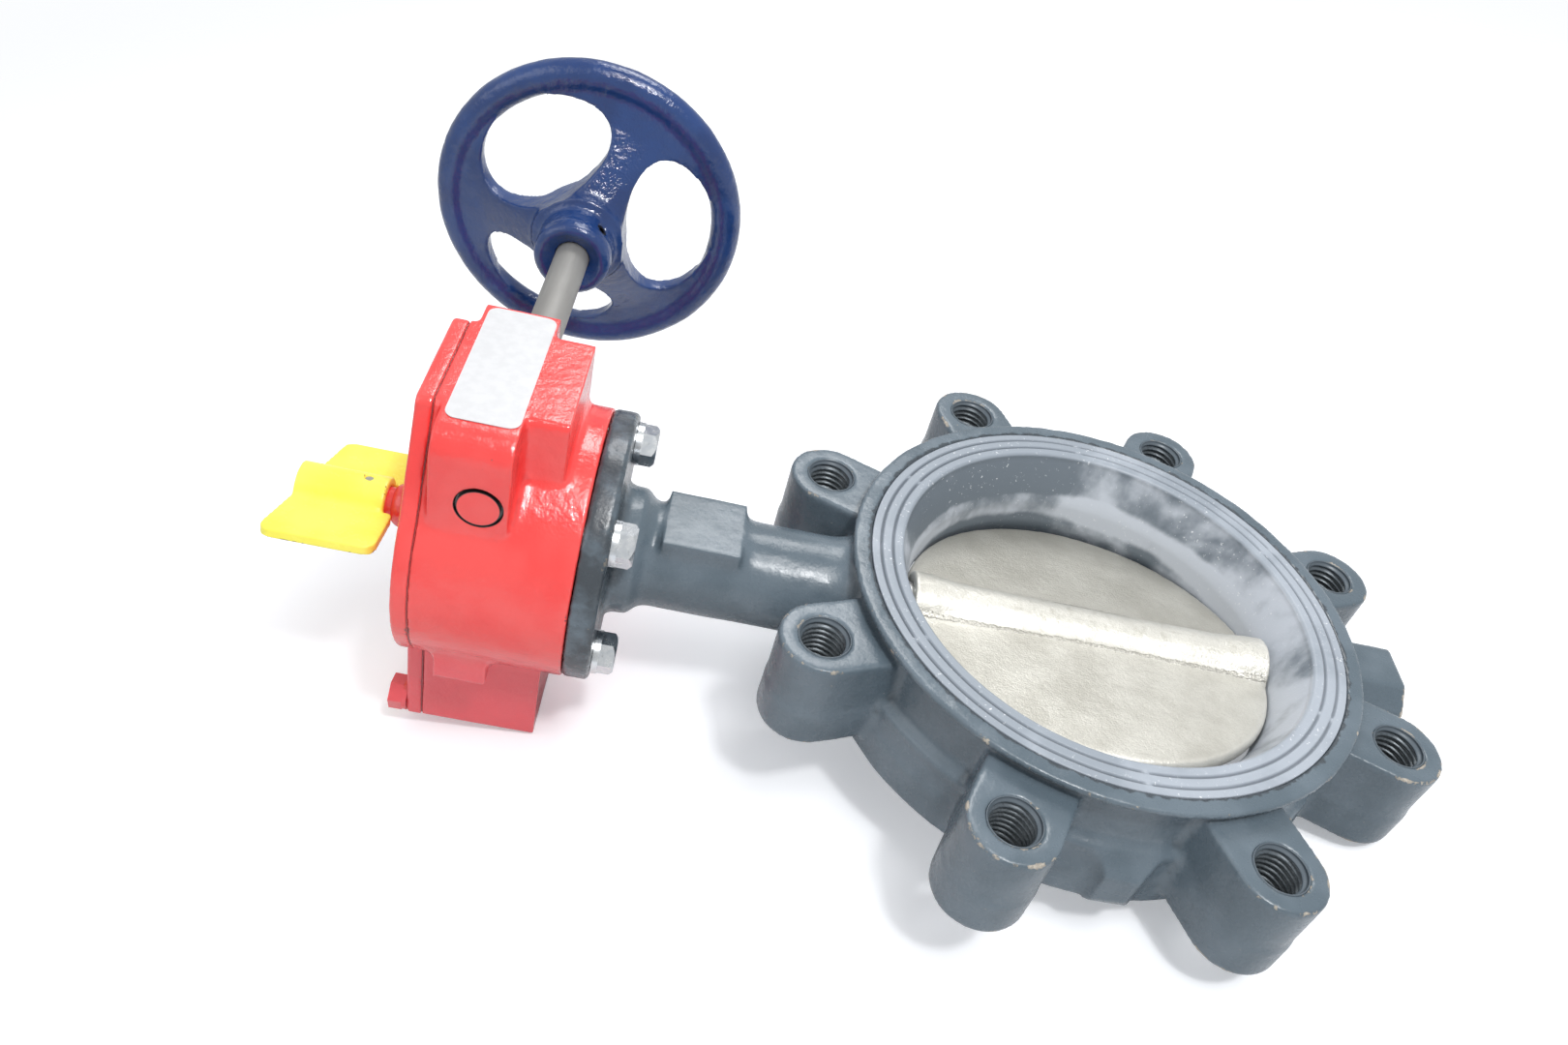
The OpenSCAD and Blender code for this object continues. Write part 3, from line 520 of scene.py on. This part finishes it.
def red_enamel():
    """Glossy red enamel of the operator, painted over its joints, with a painted table reflection low down
    and painted shade in the plug's gap.
    """
    return enamel("red_enamel", base=(0.87, 0.056, 0.052), dark=(0.50, 0.018, 0.020),
                  pale=(0.89, 0.080, 0.074), gloss=0.08, grain=(1.1 * MM, 0.14 * MM),
                  chips=-0.30, nicks=0.6, chip_colour=(0.20, 0.07, 0.06), shine=0.75,
                  # The first two marks are painted light: the table's reflection on the lower half and
                  # shade in the plug's gap.
                  marks_and_painted_light=[(low_table_reflection, (0.74, 0.115, 0.148)), (plug_gap_shade, (0.012, 0.008, 0.008)),
                         (joint_line, (0.02, 0.006, 0.006))])


def blue_enamel():
    """Thick glossy blue enamel of the handwheel."""
    return enamel("blue_enamel", base=(0.0065, 0.033, 0.142), dark=(0.002, 0.010, 0.050),
                  pale=(0.010, 0.046, 0.182), gloss=0.06, grain=(1.3 * MM, 0.20 * MM),
                  chips=-0.50, nicks=0.0, chip_colour=(0.10, 0.12, 0.18), shine=0.75)


def yellow_paint():
    """Satin yellow paint of the position flag."""
    return enamel("yellow_paint", base=(0.98, 0.90, 0.10), dark=(0.84, 0.60, 0.01),
                  pale=(1.0, 0.94, 0.14), gloss=0.26, grain=(1.8 * MM, 0.10 * MM),
                  chips=-0.20, nicks=0.2, chip_colour=(0.35, 0.22, 0.06), shine=0.4)


def barrel_seam(where):
    """Mask of the ragged casting seam that runs along both sides of the disc's barrel."""
    across = where.part("Y") * math.cos(DISC_TILT) - where.part("Z") * math.sin(DISC_TILT)
    ragged = across + (where.noise(2.2 * MM, detail=3, shift=14.0) - 0.5) * 2.4 * MM
    return abs(abs(ragged) - 12.6 * MM).step(1.1 * MM, 0.4 * MM)


def cast_nickel():
    """Pale coated ductile iron: fine sand grain, dull bloom, a painted highlight along the barrel, painted
    shade on the far half.
    """
    material, shader, where = new_material("cast_nickel")
    edge = attribute(where, "edge")
    cloud = where.noise(22 * MM, detail=4, roughness=0.6)
    grit = where.noise(0.9 * MM, detail=3, roughness=0.75)
    pit = where.cells(2.6 * MM).step(0.10, 0.05) * where.noise(12 * MM, shift=2.0).step(0.50, 0.62)
    tint = cloud.step(0.3, 0.7).mix((0.50, 0.485, 0.43), (0.66, 0.645, 0.585))
    tint = (grit.step(0.45, 0.75) * 0.35).mix(tint, (0.40, 0.38, 0.33))
    streak = where.noise(5 * MM, detail=5, roughness=0.7, stretch=(0.12, 1.6, 1.6), shift=4.0)
    tint = (streak.step(0.60, 0.68) * 0.30).mix(tint, (0.34, 0.32, 0.28))
    tint = (pit * 0.55).mix(tint, (0.24, 0.22, 0.19))
    # Painted shade: the far half of the disc darker.
    tint = (where.part("Y").step(8 * MM, 16 * MM) * 0.45).mix(tint, (0.34, 0.33, 0.29))
    tint = (edge.step(0.2, 0.8) * 0.35).mix(tint, (0.78, 0.76, 0.70))
    # Painted highlight: the barrel lighter in patches.
    on_barrel = radius_from(where, "X").step(16 * MM, 11 * MM)
    barrel_highlight = on_barrel * where.noise(4 * MM, detail=3).step(0.3, 0.5)
    tint = (barrel_highlight * 0.4).mix(tint, (0.80, 0.79, 0.74))
    seam = barrel_seam(where)
    tint = (seam * grit.step(0.38, 0.60) * 0.7).mix(tint, (0.30, 0.285, 0.25))
    set_shader(shader, Base_Color=tint, Metallic=0.45, Roughness=0.36 + (grit - 0.5) * 0.3)
    bump(shader, where,
         (grit, 0.22 * MM),
         (where.noise(3.2 * MM, detail=2, shift=7.0), 0.18 * MM),
         (seam, 0.5 * MM))
    return material


def seat_rubber():
    """Grey moulded rubber under a cloudy white bloom, with painted shade in its grooves."""
    material, shader, where = new_material("seat_rubber")
    cloud = where.noise(58 * MM, detail=4, roughness=0.5, distortion=0.5, shift=1.7)
    wipe = where.noise(17 * MM, detail=4, roughness=0.55, stretch=(1, 1, 0.7), shift=6.0)
    speck = where.noise(1.5 * MM, detail=2, roughness=0.7, shift=9.0)
    dusty = where.noise(30 * MM, detail=2, shift=12.0).step(0.42, 0.58)
    height = where.part("Z")
    far_side = where.part("Y").step(0, 30 * MM)
    # Paler in a band round the middle of the far side, and towards the far end.
    far_middle_band = height.step(13 * MM, 9 * MM) * height.step(-4 * MM, 1 * MM) * far_side
    far_end = where.part("X").step(0, 70 * MM) * 0.10
    bloom = (cloud * 0.75 + wipe * 0.35 + far_end + far_middle_band * 0.16).step(0.50, 0.68)
    tint = bloom.mix((0.148, 0.178, 0.209), (0.55, 0.59, 0.65))
    level = abs(height)
    tint = (level.step(HALF_FACE - 1.6 * MM, HALF_FACE - 0.6 * MM) * 0.75).mix(tint, (0.32, 0.36, 0.41))
    tint = (speck.step(0.66, 0.70) * (0.25 + 0.6 * dusty)).mix(tint, (0.78, 0.80, 0.82))
    # Painted shade: the moulded grooves darkened.
    tint = (attribute(where, "groove").step(0.2, 0.9) * 0.7).mix(tint, (0.075, 0.09, 0.108))
    set_shader(shader, Base_Color=tint, Roughness=0.42 + (wipe - 0.5) * 0.3)
    bump(shader, where, (speck, 0.06 * MM), (wipe, 0.10 * MM))
    return material


def turned_metal(name, base, rough, axis, metallic=1.0, grime=0.25):
    """Machined steel: fine rings across an axis and a little uneven grime."""
    material, shader, where = new_material(name)
    stretch = [0.12 if a == axis else 1.0 for a in "XYZ"]
    ring = [2.5 if a == axis else 0.05 for a in "XYZ"]
    lines = where.noise(0.6 * MM, detail=3, roughness=0.7, stretch=ring)
    stain = where.noise(9 * MM, detail=4, roughness=0.65, stretch=stretch, shift=2.0)
    tint = (stain.step(0.42, 0.66) * grime).mix(base, [0.45 * c for c in base])
    set_shader(shader, Base_Color=tint, Metallic=metallic, Roughness=rough + (lines - 0.5) * 0.25)
    bump(shader, where, (lines, 0.012 * MM))
    return material


def zinc_plate():
    """Bright zinc plate with a faint cool mottling."""
    material, shader, where = new_material("zinc_plate")
    bloom = where.noise(3.5 * MM, detail=4, roughness=0.6)
    dirt = where.noise(1.4 * MM, detail=3, roughness=0.7, shift=4.0).step(0.60, 0.72)
    tint = bloom.step(0.35, 0.65).mix((0.66, 0.69, 0.72), (0.76, 0.78, 0.79))
    tint = (dirt * 0.3).mix(tint, (0.30, 0.29, 0.27))
    set_shader(shader, Base_Color=tint, Metallic=1.0, Roughness=0.20 + bloom * 0.12)
    bump(shader, where, (bloom, 0.01 * MM))
    return material


def label_film():
    """Blank, faintly cool white film with a soft ripple."""
    material, shader, where = new_material("label_white")
    grain = where.noise(4 * MM, detail=3)
    tint = grain.step(0.35, 0.65).mix((0.58, 0.585, 0.60), (0.62, 0.625, 0.64))
    set_shader(shader, Base_Color=tint, Roughness=0.34)
    bump(shader, where, (where.noise(7 * MM, detail=2, shift=1.0), 0.03 * MM))
    return material


def black_rubber():
    """Plain black seal rubber."""
    material, shader, where = new_material("black_rubber")
    grain = where.noise(0.8 * MM, detail=3)
    set_shader(shader, Base_Color=grain.mix((0.008, 0.008, 0.009), (0.022, 0.022, 0.024)), Roughness=0.6)
    bump(shader, where, (grain, 0.03 * MM))
    return material


def thread_metal():
    """Tapped thread: bare oily steel, with enamel left near both ends."""
    material, shader, where = new_material("thread_metal")
    depth = abs(where.part("Z"))
    grit = where.noise(0.8 * MM, detail=4, roughness=0.7)
    painted = (depth + (grit - 0.5) * 5 * MM).step(LUG_HALF - 5.5 * MM, LUG_HALF - 2.5 * MM)
    oily = grit.step(0.35, 0.65).mix((0.065, 0.080, 0.092), (0.14, 0.16, 0.175))
    tint = painted.mix(oily, (0.10, 0.125, 0.148))
    set_shader(shader, Base_Color=tint, Metallic=0.35 - painted * 0.3, Roughness=0.36 + (grit - 0.5) * 0.2)
    bump(shader, where, (grit, 0.01 * MM))
    return material


# ---- pieces ----

def true_rim(mesh):
    """Put the handwheel's rim back on a true torus, where it is within a millimetre of one."""
    places = mesh_arrays(mesh)[0]
    tube = high("handwheel")[1] - RIM_Y
    ring = high("handwheel")[2] - WORM_Z - tube
    across = places - np.array([WORM_X, RIM_Y, WORM_Z])
    radius = np.hypot(across[:, 0], across[:, 2])
    out = np.stack([radius - ring, across[:, 1]], axis=1)
    distance = np.linalg.norm(out, axis=1)
    near = np.abs(distance - tube) < 1 * MM
    out[near] *= (tube / distance[near])[:, None]
    scale = (ring + out[:, 0]) / np.maximum(radius, MM)
    places[near, 0] = WORM_X + across[near, 0] * scale[near]
    places[near, 1] = RIM_Y + out[near, 1]
    places[near, 2] = WORM_Z + across[near, 2] * scale[near]
    set_places(mesh, places)


def thread_sleeve(index, material):
    """Internal thread of one lug hole: a tube whose bore is a helical ridge.

    The inner radius at an angle and a height is the hole's radius less a trapezoid wave of
    height / pitch - angle / full turn, which fades out over the first pitch at each mouth. Two
    more rings, sunk in the wall of the hole, close the tube behind the thread."""
    pitch, depth = 2.54 * MM, 1.45 * MM
    major = LUG_HOLE_R - 0.05 * MM
    half = LUG_HALF - 0.4 * MM
    around, per_pitch = 40, 8
    heights = np.linspace(-half, half, int(2 * half / pitch * per_pitch) + 1)
    angles = np.linspace(0, 2 * math.pi, around, endpoint=False)
    height, angle = np.meshgrid(heights, angles, indexing="ij")
    wave = np.abs((height / pitch - angle / (2 * math.pi)) % 1 * 2 - 1)
    ridge = np.clip(wave * 1.35 - 0.15, 0, 1)
    mouth = np.clip((half - np.abs(height)) / pitch, 0, 1)
    wall = np.full((2, around), LUG_HOLE_R + 0.3 * MM)
    radius = np.vstack([major - depth * ridge * mouth, wall])
    height = np.vstack([height, height[-1:], height[:1]])
    points = np.stack([radius * np.cos(angles), radius * np.sin(angles), height], axis=-1)
    place = (index + 0.5) * 2 * math.pi / LUG_COUNT
    points += LUG_CIRCLE_R * np.array([math.cos(place), math.sin(place), 0])
    name = f"lug_thread_{index + 1}"
    sleeve = link(bpy.data.objects.new(name, closed_grid(name, points)))
    finish_piece(sleeve, "root", material)


def arc(centre, radius, start, end, count):
    """Points of an arc in (radius, height), angles in degrees."""
    t = np.radians(np.linspace(start, end, count))
    return np.stack([centre[0] + radius * np.cos(t), centre[1] + radius * np.sin(t)], axis=1)


def seat_profile():
    """Closed outline of the seat in (radius, height): crowned bore, rounded mouth, lip and back.

    The bore is straight near the middle and widens to its mouth as a power of the height. The
    lower half is the upper half turned over."""
    mouth_r, edge_r = 2.2 * MM, 0.7 * MM
    straight, widening = 5 * MM, 7 * MM
    heights = np.linspace(0, HALF_FACE - mouth_r, 24)
    rise = np.clip((heights - straight) / (HALF_FACE - mouth_r - straight), 0, 1)
    crown = SEAT_BORE_R + widening * rise ** 1.35
    wall = np.stack([crown, heights], axis=1)
    centre = (crown[-1] + mouth_r, HALF_FACE - mouth_r)
    mouth = arc(centre, mouth_r, 180, 90, 9)[1:]
    face_r = np.linspace(centre[0] + 0.4 * MM, LIP_R - edge_r - 0.1 * MM, 56)
    face = np.stack([face_r, np.full_like(face_r, HALF_FACE)], axis=1)
    edge = arc((LIP_R - edge_r, HALF_FACE - edge_r), edge_r, 90, 0, 5)
    lip_low = HALF_FACE - SEAT_LIP
    under = np.array([[LIP_R, lip_low], [SEAT_BACK_R, lip_low], [SEAT_BACK_R, lip_low / 2]])
    upper = np.concatenate([wall, mouth, face, edge, under])
    lower = upper[:0:-1] * (1, -1)
    return np.concatenate([upper, [[SEAT_BACK_R, 0]], lower])


def seat_piece(material):
    """Rubber seat: its outline carried round the pipe axis, with two moulded grooves in each face.

    The grooves sink the face by a rounded valley, except at six ribs that cross them, and the
    land between them stands a little proud. The whole face waves by a fine noise."""
    groove_half, groove_depth = 0.75 * MM, 1 * MM
    land_r, land_half, land_height = 90 * MM, 3.2 * MM, 0.12 * MM
    rib_half, rib_slope = 0.35, 0.5
    wave = 0.1 * MM
    outline = seat_profile()
    turn = np.linspace(0, 2 * math.pi, 480, endpoint=False)
    r = np.repeat(outline[:, :1], len(turn), axis=1)
    z = np.repeat(outline[:, 1:], len(turn), axis=1)
    from_rib = np.abs(np.degrees(turn) % 60 - 30)
    open_part = np.clip((from_rib - rib_half) / rib_slope, 0, 1)
    valleys = (np.clip(1 - np.abs(r - radius) / groove_half, 0, 1) ** 0.8 for radius in GROOVE_RADII)
    groove = sum(valleys) * open_part
    land = np.clip(1 - np.abs(r - land_r) / land_half, 0, 1)
    points = np.stack([r * np.cos(turn), r * np.sin(turn), z], axis=-1)
    wobble = lattice_noise(points.reshape(-1, 3), 14 * MM, 5).reshape(r.shape)
    on_face = np.abs(z) > HALF_FACE - 0.1 * MM
    sink = groove * groove_depth + (1 - land) * land_height + (1 + wobble) * wave
    points[..., 2] -= np.sign(z) * np.where(on_face, sink, 0)
    mesh = closed_grid("seat_skin", points)
    store_values(mesh, "groove", np.where(on_face, groove, 0))
    seat = link(bpy.data.objects.new("seat_skin", mesh))
    finish_piece(seat, "root", material)
    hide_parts("seat_liner")


def give_finish(material, *nodes):
    """Put a material on CAD nodes that keep their own mesh."""
    for node in nodes:
        materials = frame["nodes"][node].data.materials
        materials.clear()
        materials.append(material)


# ---- stage ----

def resting_plane():
    """Tilt about Y and offset of the table: the plane under the object that lets it lie lowest.

    For each tilt, in steps of a tenth of a degree, the table touches the lowest vertex. The tilt
    kept is the one at which the centre of volume stands lowest over the table."""
    points, centre, volume = [], np.zeros(3), 0.0
    for obj in frame["nodes"].values():
        mesh = obj.data
        mesh.calc_loop_triangles()
        places = np.empty(len(mesh.vertices) * 3)
        mesh.vertices.foreach_get("co", places)
        places = places.reshape(-1, 3)
        corners = np.empty(len(mesh.loop_triangles) * 3, dtype=np.int32)
        mesh.loop_triangles.foreach_get("vertices", corners)
        a, b, c = places[corners.reshape(-1, 3)].transpose(1, 0, 2)
        part = (a * np.cross(b, c)).sum(axis=1) / 6
        centre += ((a + b + c) / 4 * part[:, None]).sum(axis=0)
        volume += part.sum()
        points.append(places)
    points = np.concatenate(points)
    centre /= volume
    tilts = np.radians(np.linspace(0, 25, 251))
    normals = np.stack([-np.sin(tilts), 0 * tilts, np.cos(tilts)], axis=1)
    floor = (points @ normals.T).min(axis=0)
    best = np.argmin(centre @ normals.T - floor)
    return tilts[best], floor[best]


def table_material():
    """Pale table: nearly white, seen only from above, and fading out into the white around it."""
    fade_start, fade_end = 0.55, 1.3
    material, shader, where = new_material("table")
    tree = material.node_tree
    set_shader(shader, Base_Color=(0.80, 0.81, 0.83), Roughness=0.9)
    surface = Field(tree, shader.outputs[0])
    seen = where.node("ShaderNodeLightPath", out="Is Camera Ray")
    glow = where.node("ShaderNodeEmission", inputs={"Color": (0.93, 0.96, 1.0, 1), "Strength": seen * 0.34})
    surface = where.node("ShaderNodeAddShader", inputs={0: surface, 1: glow})
    from_below = where.node("ShaderNodeNewGeometry", out="Backfacing")
    gone = from_below.larger(where.length().step(fade_start, fade_end))
    clear = where.node("ShaderNodeBsdfTransparent")
    mixed = where.node("ShaderNodeMixShader", inputs={0: gone, 1: surface, 2: clear})
    tree.links.new(mixed.socket, tree.nodes["Material Output"].inputs["Surface"])
    return material


def make_table():
    """A wide table under the object, tilted as the object lies on it."""
    half = 1.4
    tilt, offset = resting_plane()
    across = np.array([math.cos(tilt), 0, math.sin(tilt)])
    along = np.array([0, 1, 0])
    normal = np.array([-math.sin(tilt), 0, math.cos(tilt)])
    corners = [offset * normal + half * (s * across + t * along)
               for s, t in ((-1, -1), (1, -1), (1, 1), (-1, 1))]
    mesh = bpy.data.meshes.new("table")
    mesh.from_pydata(corners, [], [(0, 1, 2, 3)])
    table = link(bpy.data.objects.new("table", mesh))
    mesh.materials.append(table_material())


def make_world():
    """White surroundings: full white where seen, softer where mirrored and as light."""
    world = bpy.data.worlds.new("surroundings")
    bpy.context.scene.world = world
    world.use_nodes = True
    tree = world.node_tree
    outputs = tree.nodes.new("ShaderNodeLightPath").outputs
    camera, glossy, through = (
        Field(tree, outputs[f"Is {kind} Ray"]) for kind in ("Camera", "Glossy", "Transmission")
    )
    seen = camera.larger(glossy * 0.4).larger(through)
    background = tree.nodes["Background"]
    background.inputs["Color"].default_value = (0.97, 0.985, 1.0, 1)
    strength = 0.45 + seen * 0.55
    tree.links.new(strength.socket, background.inputs["Strength"])


def area_light(name, place, size, power):
    """A soft square lamp at a place, aimed at the middle of the object."""
    lamp = bpy.data.lights.new(name, "AREA")
    lamp.size = size
    lamp.energy = power
    obj = link(bpy.data.objects.new(name, lamp))
    middle = Vector((CAD_BOX[0][0] + CAD_BOX[1][0], CAD_BOX[0][1] + CAD_BOX[1][1], 0)) / 2
    aim = (middle - Vector(place)).to_track_quat("-Z", "Y")
    obj.matrix_world = Matrix.LocRotScale(place, aim, None)


def make_lamps():
    """A broad key from above, a small lamp under it for sharp glints, and two soft side lamps."""
    area_light("key", (0.06, -0.36, 1.25), 0.55, 7.0)
    area_light("glint", (0.06, -0.56, 1.18), 0.11, 6.0)
    area_light("back", (-0.10, 0.80, 1.00), 0.5, 6.0)
    area_light("fill", (-0.95, -0.30, 0.60), 0.7, 1.7)


def make_camera():
    """Camera above the operator's near side, looking across the valve."""
    place = (-0.1780, -0.3452, 0.3301)
    turn = Euler([math.radians(angle) for angle in (48.02, -12.31, 3.14)])
    camera = bpy.data.cameras.new("camera")
    camera.sensor_width = 36
    camera.lens = 27.755
    camera.clip_start = 0.01
    obj = link(bpy.data.objects.new("camera", camera))
    obj.matrix_world = Matrix.LocRotScale(place, turn, None)
    bpy.context.scene.camera = obj


# ---- build ----

def build_castings():
    """The six castings, and what was painted red together with the operator."""
    slate, red, blue = body_enamel(), red_enamel(), blue_enamel()
    cast_skin("valve_body", 1.25 * MM, 1, 13, [(0.25 * MM, 9 * MM, 1), (0.16 * MM, 3.5 * MM, 2)],
              "root", slate)
    cast_skin("gear_housing", 0.8 * MM, 3, 40, [(0.20 * MM, 11 * MM, 3), (0.12 * MM, 3.2 * MM, 4)],
              "root", red)
    cast_skin("gear_cover", 0.7 * MM, 2, 16, [(0.12 * MM, 11 * MM, 5)],
              "root", red)
    cast_skin("handwheel", 0.9 * MM, 7, 30, [(0.25 * MM, 9 * MM, 6), (0.18 * MM, 3.0 * MM, 7)],
              "handwheel_train", blue, true_up=true_rim)
    cast_skin("position_flag", 0.55 * MM, 5, 50, [(0.10 * MM, 8 * MM, 8)],
              "disc_train", yellow_paint())
    cast_skin("disc", 0.9 * MM, 2, 40, [(0.12 * MM, 10 * MM, 9)],
              "disc_train", cast_nickel())
    give_finish(red, "cover_bolts", "cover_flush_screws", "worm_plug", "cover_gasket",
                "indicator_post")


def build_rest():
    """The lug threads, the seat, and the finishes of the pieces that keep their CAD mesh."""
    thread = thread_metal()
    for index in range(LUG_COUNT):
        thread_sleeve(index, thread)
    seat_piece(seat_rubber())
    give_finish(zinc_plate(), "flange_bolts", "lock_washers")
    give_finish(label_film(), "label_plate")
    give_finish(black_rubber(), "stem_seals", "shaft_seal", "post_seal")
    give_finish(turned_metal("shaft_grey", (0.33, 0.325, 0.31), 0.55, "Y", metallic=0.45), "input_shaft")
    give_finish(turned_metal("plain_steel", (0.55, 0.55, 0.54), 0.32, "X"), "upper_stem", "lower_stem",
                "thrust_washers", "stem_key", "flag_pin", "worm", "worm_pin")
    give_finish(turned_metal("cast_iron_bare", (0.20, 0.19, 0.18), 0.45, "X", grime=0.5), "gear_sector")
    give_finish(turned_metal("bronze", (0.62, 0.42, 0.16), 0.35, "X"), "upper_bushing", "collar_bushing",
                "lower_bushing", "worm_bushings")
    give_finish(turned_metal("dark_steel", (0.06, 0.06, 0.065), 0.40, "Y"), "wheel_set_screw")


make_camera()
make_world()
make_table()
make_lamps()
build_castings()
build_rest()
bpy.context.scene.view_settings.view_transform = "Standard"
